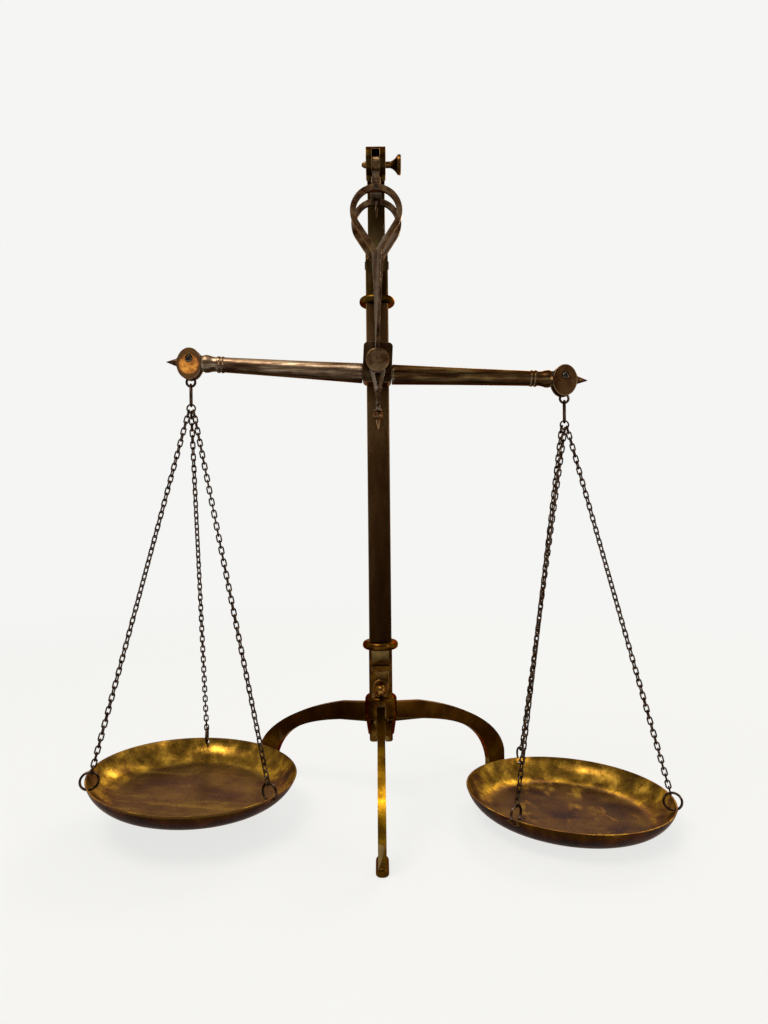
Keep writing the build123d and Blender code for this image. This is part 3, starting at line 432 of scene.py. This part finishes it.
def darker_below(low, high, dark):
    """Darker from height high down to height low."""
    def body_colour(tree, place, tarnish):
        split = node(tree, "ShaderNodeSeparateXYZ")
        tree.links.new(place, split.inputs[0])
        depth = share_of(tree, split.outputs["Z"], high, low, MOST_DARK, smooth=True)
        return blend_colour(tree, depth, tarnish, dark)
    return body_colour


def darker_outside(centre, half, fade, dark):
    """Darker away from a band of heights."""
    def body_colour(tree, place, tarnish):
        split = node(tree, "ShaderNodeSeparateXYZ")
        tree.links.new(place, split.inputs[0])
        away = node(tree, "ShaderNodeMath", operation="SUBTRACT")
        tree.links.new(split.outputs["Z"], away.inputs[0])
        away.inputs[1].default_value = centre
        far = node(tree, "ShaderNodeMath", operation="ABSOLUTE")
        tree.links.new(away.outputs[0], far.inputs[0])
        depth = share_of(tree, far.outputs[0], half, half + fade, MOST_DARK, smooth=True)
        return blend_colour(tree, depth, tarnish, dark)
    return body_colour


finishes["pillar_brass"] = aged_metal(
    "pillar_brass", tone(48, 27, 9), tone(92, 63, 35), tone(134, 102, 66), tone(176, 150, 104),
    patch=24 * MM, rough=(0.26, 0.44), stretch=(1, 1, 0.25),
    body_colour=darker_below(170 * MM, 390 * MM, tone(22, 6, 1)),
)
finishes["head_brass"] = aged_metal(
    "head_brass", tone(34, 18, 2), tone(58, 40, 12), tone(98, 74, 30), tone(186, 160, 108),
    patch=14 * MM, rough=(0.26, 0.44), edge=0.6,
)
finishes["hub_brass"] = aged_metal(
    "hub_brass", tone(32, 14, 1), tone(58, 34, 6), tone(96, 64, 20), tone(180, 150, 96),
    patch=12 * MM, rough=(0.24, 0.42), edge=0.6,
)
finishes["leg_brass"] = aged_metal(
    "leg_brass", tone(38, 18, 2), tone(62, 36, 6), tone(92, 60, 14), tone(170, 146, 96),
    patch=22 * MM, rough=(0.26, 0.42),
)
finishes["front_leg_brass"] = aged_metal(
    "front_leg_brass", tone(70, 42, 4), tone(140, 98, 14), tone(226, 168, 34), tone(214, 188, 130),
    patch=15 * MM, rough=(0.22, 0.4),
    body_colour=darker_outside(48 * MM, 12 * MM, 16 * MM, tone(54, 34, 8)),
)
finishes["screw_brass"] = aged_metal(
    "screw_brass", tone(44, 24, 6), tone(96, 64, 26), tone(160, 114, 56), tone(206, 178, 132),
    patch=6 * MM, rough=(0.2, 0.38),
)
finishes["shears_bronze"] = aged_metal(
    "shears_bronze", tone(42, 22, 11), tone(94, 66, 43), tone(150, 120, 86), tone(222, 206, 186),
    patch=8 * MM, rough=(0.26, 0.46), edge=0.75, graze=tone(214, 178, 140),
)
finishes["beam_brass"] = aged_metal(
    "beam_brass", tone(30, 16, 7), tone(58, 38, 22), tone(100, 78, 52), tone(190, 166, 136),
    patch=9 * MM, rough=(0.26, 0.46),
)
finishes["needle_steel"] = aged_metal(
    "needle_steel", tone(30, 24, 20), tone(58, 48, 40), tone(96, 84, 72), tone(170, 160, 148),
    patch=5 * MM, rough=(0.22, 0.4),
)
finishes["dark_iron"] = aged_metal(
    "dark_iron", tone(26, 17, 11), tone(58, 44, 34), tone(104, 88, 74), tone(150, 136, 120),
    patch=3.5 * MM, rough=(0.3, 0.5), edge=0.2, under_shade=0.4,
)
finishes["collar_black"] = aged_metal(
    "collar_black", tone(14, 9, 6), tone(32, 23, 16), tone(62, 49, 38), tone(110, 96, 80),
    patch=2.5 * MM, rough=(0.3, 0.5), edge=0.1, under_shade=0.4,
)
print("finishes", sorted(finishes))

# %% [markdown]
# ## The two arms and the two box plates
# A turned arm is rubbed lengthwise with a cloth, so its tarnish runs in long
# streaks. The left arm is paler than the right one. The left box plate carries
# a painted reflection of a warm lamp, a ragged orange disc that gives way to a
# brown tone towards the rim, while the other plate is plain brown. A streak is
# the same noise pulled out along one axis.

# %% Mix the arm and plate finishes
def streaks(dark, pale):
    """Long fine streaks along the beam on top of the tarnish."""
    def body_colour(tree, place, tarnish):
        line = noise(tree, place, 2.6 * MM, detail=3, stretch=(0.06, 1, 1))
        tarnish = blend_colour(tree, share_of(tree, line, 0.5, 0.36, 0.8), tarnish, dark)
        return blend_colour(tree, share_of(tree, line, 0.52, 0.68, 0.75), tarnish, pale)
    return body_colour


def reflection_in_ragged_disc(centre, radius, rim):
    """A painted reflection within a ragged disc about a centre, and the rim tone outside it."""
    def body_colour(tree, place, tarnish):
        away = distance_in_plane(tree, place, centre, UPRIGHT)
        ragged = scaled_sum(tree, noise(tree, place, RAGGED_SIZE), RAGGED_REACH, away)
        outside = share_of(tree, ragged, radius, radius + REFLECTION_FADE, REFLECTION_GONE, smooth=True)
        return blend_colour(tree, outside, tarnish, rim)
    return body_colour


# Size, place and ragged edge of the painted reflection of a warm lamp on the left plate.
REFLECTION_RADIUS = 8.3 * MM
REFLECTION_DROP = Vector((0, 0, 0.8 * MM))
REFLECTION_FADE = 1.2 * MM
REFLECTION_GONE = 0.92
UPRIGHT = (1, 0, 1)
RAGGED_SIZE = 2.4 * MM
RAGGED_REACH = 2.2 * MM
arm_finishes = {
    "left": aged_metal(
        "left_arm_brass", tone(58, 38, 25), tone(124, 99, 76), tone(168, 146, 120), tone(206, 190, 170),
        patch=11 * MM, rough=(0.24, 0.42), stretch=(0.4, 1, 1), under_shade=0.85,
        body_colour=streaks(tone(54, 34, 21), tone(196, 176, 152)),
    ),
    "right": aged_metal(
        "right_arm_brass", tone(38, 20, 7), tone(84, 58, 33), tone(130, 104, 66), tone(200, 184, 150),
        patch=11 * MM, rough=(0.24, 0.42), stretch=(0.4, 1, 1), under_shade=0.85,
        body_colour=streaks(tone(32, 16, 6), tone(130, 108, 72)),
    ),
}
plate_finishes = {
    # Orange tones of a painted reflection of a warm lamp, with a brown rim tone outside it.
    "left": aged_metal(
        "left_plate_painted_reflection", tone(112, 68, 32), tone(200, 128, 58), tone(255, 184, 78),
        tone(120, 96, 70), patch=5 * MM, rough=(0.3, 0.44), metallic=0.3, under_shade=0.3,
        body_colour=reflection_in_ragged_disc(
            centre_of("left_box_front_plate") - REFLECTION_DROP, REFLECTION_RADIUS, tone(66, 48, 30)
        ),
    ),
    "right": aged_metal(
        "right_plate_brass", tone(58, 34, 14), tone(92, 62, 36), tone(120, 88, 58),
        tone(170, 146, 120), patch=7 * MM, rough=(0.3, 0.46),
    ),
}
print("arm and plate finishes", sorted(arm_finishes), sorted(plate_finishes))

# %% [markdown]
# ## The pans' finish
# Each pan is spun on a lathe from thin sheet. Its wall is rubbed golden, its
# flat floor carries a brown stain with the wiping marks of a cloth, and the
# outside is a dark brown. Wall and floor differ by how far a point
# lies from the pan's middle, and the outside by where the surface faces. The
# spinning tool leaves fine rings, and years of weights leave shallow dents.


# %% Mix the pan finishes
WALL_START = 6 * MM
WALL_FULL = 14 * MM
WALL_WAVER = 8 * MM
WAVER_SIZE = 26 * MM
RING_STEP = 1.6 * MM
RING_SHARE = 0.05
DENT_SIZE = 21 * MM
DENT_SHARE = 7.0
LEVEL = (1, 1, 0)


def pan_finish(name, centre, flat_radius, stains, wiping):
    """Spun brass with a stained floor, a golden wall and a dark outside."""
    def tarnish_by_zone(tree, place, tarnish):
        """Stain on the floor, gold on the wall and brown outside, in place of the tarnish."""
        reach = distance_in_plane(tree, place, centre, LEVEL)
        waver = scaled_sum(tree, noise(tree, place, WAVER_SIZE), WALL_WAVER, reach)
        wall = share_of(
            tree, waver, flat_radius + WALL_START, flat_radius + WALL_FULL, smooth=True
        )
        stain = ramp(
            tree, noise(tree, place, 30 * MM, detail=6),
            list(zip((0.34, 0.5, 0.68), stains)),
        )
        wipes = noise(tree, place, 15 * MM, detail=4, stretch=wiping)
        stain = blend_colour(tree, share_of(tree, wipes, 0.56, 0.7, 0.7), stain, tone(150, 118, 54))
        gold = ramp(
            tree, noise(tree, place, 14 * MM, detail=5),
            [(0.32, tone(70, 48, 16)), (0.5, tone(118, 86, 28)), (0.68, tone(190, 144, 52))],
        )
        inside = blend_colour(tree, wall, stain, gold)
        outside = ramp(
            tree, noise(tree, place, 18 * MM, detail=5),
            [(0.34, tone(36, 19, 2)), (0.5, tone(54, 32, 3)), (0.68, tone(78, 50, 8))],
        )
        facing = node(tree, "ShaderNodeSeparateXYZ")
        tree.links.new(node(tree, "ShaderNodeNewGeometry").outputs["Normal"], facing.inputs[0])
        turned = share_of(tree, facing.outputs["Z"], 0.12, -0.08)
        return blend_colour(tree, turned, inside, outside)

    def spun_relief(tree, place, marks):
        """The rings of the lathe and broad dents on top of the file marks."""
        turns = node(tree, "ShaderNodeMath", operation="MULTIPLY")
        turns.inputs[1].default_value = 2 * math.pi / RING_STEP
        tree.links.new(distance_in_plane(tree, place, centre, LEVEL), turns.inputs[0])
        rings = node(tree, "ShaderNodeMath", operation="SINE")
        tree.links.new(turns.outputs[0], rings.inputs[0])
        fine = scaled_sum(tree, rings.outputs[0], RING_SHARE, marks)
        return scaled_sum(tree, noise(tree, place, DENT_SIZE, detail=2), DENT_SHARE, fine)

    return aged_metal(
        name, tone(38, 20, 3), tone(104, 76, 36), tone(150, 112, 46), tone(168, 132, 74),
        patch=22 * MM, rough=(0.22, 0.38), file_marks=0.3, metallic=0.72, edge=0.35,
        under_shade=0.0, coat=0.12, graze=tone(160, 118, 62),
        body_colour=tarnish_by_zone, relief=spun_relief,
    )


STAINS = {
    "left": (tone(84, 62, 29), tone(105, 81, 40), tone(128, 101, 53)),
    "right": (tone(58, 42, 17), tone(79, 61, 26), tone(98, 78, 36)),
}
WIPING = {"left": (0.35, 1.6, 1.0), "right": (1.1, 0.5, 1.0)}
FLAT_SHARE = 58.0 / 82.6
pan_finishes = {}
for side in ("left", "right"):
    low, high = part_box(f"{side}_pan")
    flat_radius = (high.x - low.x) / 2 * FLAT_SHARE
    pan_finishes[side] = pan_finish(
        f"{side}_pan_brass", centre_of(f"{side}_pan"), flat_radius, STAINS[side], WIPING[side]
    )
print("pan flat radius", round(flat_radius, 4))

# %% [markdown]
# ## A worn skin
# Edges on old brass are never sharp: filing, polishing and a century of hands
# round them, and the rounded edge is what catches light. The frame's own
# mesh is copied, its split corners are joined, and every sharp edge is
# rounded. The points in the middle of a rounding get the value wear, which
# the recipe reads. The copy then rides on the same body as the frame's piece.


# %% The skin helper
SHARP = math.radians(28)
SHADING_SPLIT = SHARP * 1.3
NEARLY_FLAT = math.radians(0.6)
SAME_PLACE = 2e-6
ROUND_STEPS = 3


def skin(name, bevel, finish=None):
    """A rounded copy of a frame node, in its finish, in place of the node."""
    shape = bmesh.new()
    shape.from_mesh(nodes[name].data)
    wear = shape.verts.layers.float.new("wear")
    bmesh.ops.remove_doubles(shape, verts=shape.verts, dist=SAME_PLACE)
    bmesh.ops.dissolve_limit(
        shape, angle_limit=NEARLY_FLAT, verts=shape.verts, edges=shape.edges
    )
    sharp = [edge for edge in shape.edges if edge.is_manifold and edge.calc_face_angle() > SHARP]
    rounding = bmesh.ops.bevel(
        shape, geom=sharp, offset=bevel, offset_type="OFFSET", segments=ROUND_STEPS,
        profile=0.5, affect="EDGES", clamp_overlap=True, miter_outer="ARC", material=-1,
    )
    fresh = set(rounding["faces"])
    for vert in shape.verts:
        if all(face in fresh for face in vert.link_faces):
            vert[wear] = 1.0
    mesh = bpy.data.meshes.new(f"{name}_skin")
    shape.to_mesh(mesh)
    shape.free()
    piece = bpy.data.objects.new(f"{name}_skin", mesh)
    bpy.context.scene.collection.objects.link(piece)
    mesh.materials.clear()
    mesh.materials.append(finish or finishes[finish_of[name]])
    for face in mesh.polygons:
        face.use_smooth = True
    mesh.set_sharp_from_angle(angle=SHADING_SPLIT)
    flatter = piece.modifiers.new("flat faces stay flat", "WEIGHTED_NORMAL")
    flatter.keep_sharp = True
    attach(piece, home[name])
    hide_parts(name)


def paint(name, finish=None):
    """Keeps a frame node as it is and gives it its finish."""
    piece = nodes[name]
    piece.data.materials.clear()
    piece.data.materials.append(finish or finishes[finish_of[name]])
    for face in piece.data.polygons:
        face.use_smooth = True


print("skin ready")

# %% [markdown]
# ## Dress the stand
# The legs and the folding arm are handled most and worn softest, so they take
# the widest rounding. Pillar, hub and fork take about half of it, and the
# small turned pins and screws take a fine one.

# %% Stand pieces
skin("pillar_shaft", 0.5 * MM)
skin("base_hub", 0.6 * MM, finishes["hub_brass"])
skin("top_fork", 0.6 * MM, finishes["head_brass"])
skin("head_arm", 1.0 * MM, finishes["head_brass"])
skin("front_leg", 1.1 * MM, finishes["front_leg_brass"])
for name in ("rear_left_leg", "rear_right_leg"):
    skin(name, 1.1 * MM)
for name in ("hub_screw", "hub_escutcheon", "thumb_screw", "arm_hinge_pin", "leg_hinge_pins"):
    skin(name, 0.25 * MM)
print("stand dressed")

# %% [markdown]
# ## Dress the shears and the beam
# The cheeks of the shears are forged flat and then filed round at the edges,
# so they take the widest rounding of all. The beam's block and the oval
# plates of the box ends take a little less, and all other pieces a fine one.

# %% Shears and beam pieces
ROUNDING = {"shears_front_cheek": 1.3, "shears_rear_cheek": 1.3, "beam_body": 1.0}
FINE_ROUNDING = 0.3
PLATE_ROUNDING = 1.0
for name in home:
    side = name.split("_")[0]
    if home[name] in ("shears", "beam"):
        finish = finishes[finish_of[name]]
        bevel = ROUNDING.get(name, FINE_ROUNDING)
        if name.endswith("beam_arm"):
            finish = arm_finishes[side]
        if name.endswith("plate"):
            finish = plate_finishes[side]
            bevel = PLATE_ROUNDING
        skin(name, bevel * MM, finish)
print("shears and beam dressed")

# %% [markdown]
# ## Collars round the knife ends
# Where each end knife comes through a box plate it sits in a small blackened
# collar. It is turned here as on a lathe: one short profile of points, spun
# about the knife's line.


# %% Turn the knife collars
COLLAR_PROFILE = ((0.2, 0.0), (3.0, 0.0), (3.1, 0.35), (2.7, 0.8), (2.0, 0.95), (0.2, 0.7))
TURNS = 32
COLLAR_CREASE = math.radians(35)


def spun(name, profile, centre, out, finish):
    """A turned piece: (radius, height) pairs in millimetres spun about the direction out."""
    shape = bmesh.new()
    across = out.orthogonal().normalized()
    rest = out.cross(across)
    loops = []
    for radius, height in profile:
        loops.append([
            shape.verts.new(
                centre + out * height * MM
                + (across * math.cos(turn) + rest * math.sin(turn)) * radius * MM
            )
            for turn in (2 * math.pi * i / TURNS for i in range(TURNS))
        ])
    for below, above in zip(loops, loops[1:]):
        for i in range(TURNS):
            j = (i + 1) % TURNS
            shape.faces.new((below[i], below[j], above[j], above[i]))
    shape.faces.new(loops[-1])
    shape.faces.new(list(reversed(loops[0])))
    bmesh.ops.recalc_face_normals(shape, faces=shape.faces)
    mesh = bpy.data.meshes.new(name)
    shape.to_mesh(mesh)
    shape.free()
    for face in mesh.polygons:
        face.use_smooth = True
    mesh.set_sharp_from_angle(angle=COLLAR_CREASE)
    piece = bpy.data.objects.new(name, mesh)
    bpy.context.scene.collection.objects.link(piece)
    mesh.materials.append(finish)
    return piece


for side in ("left", "right"):
    knife_low, knife_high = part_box(f"{side}_end_knife")
    knife_centre = (knife_low + knife_high) / 2
    for face, out in (("front", Vector((0, -1, 0))), ("rear", Vector((0, 1, 0)))):
        low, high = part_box(f"{side}_box_{face}_plate")
        surface = low.y if face == "front" else high.y
        collar = spun(
            f"{side}_{face}_knife_collar", COLLAR_PROFILE,
            Vector((knife_centre.x, surface, knife_centre.z)), out, finishes["collar_black"],
        )
        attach(collar, "beam")
print("knife collars turned")

# %% [markdown]
# ## Dress the hangers
# The chains are fine wire: the frame's own links are round already, so they
# only need their finish. The pans' rims take a fine rounding.

# %% Hanging pieces
for side in ("left", "right"):
    for part in ("shackle", "hook_link", "gather_ring", "pan_rings", "chain_1", "chain_2", "chain_3"):
        paint(f"{side}_{part}")
    skin(f"{side}_pan", 0.3 * MM, pan_finishes[side])
print("hangers dressed")
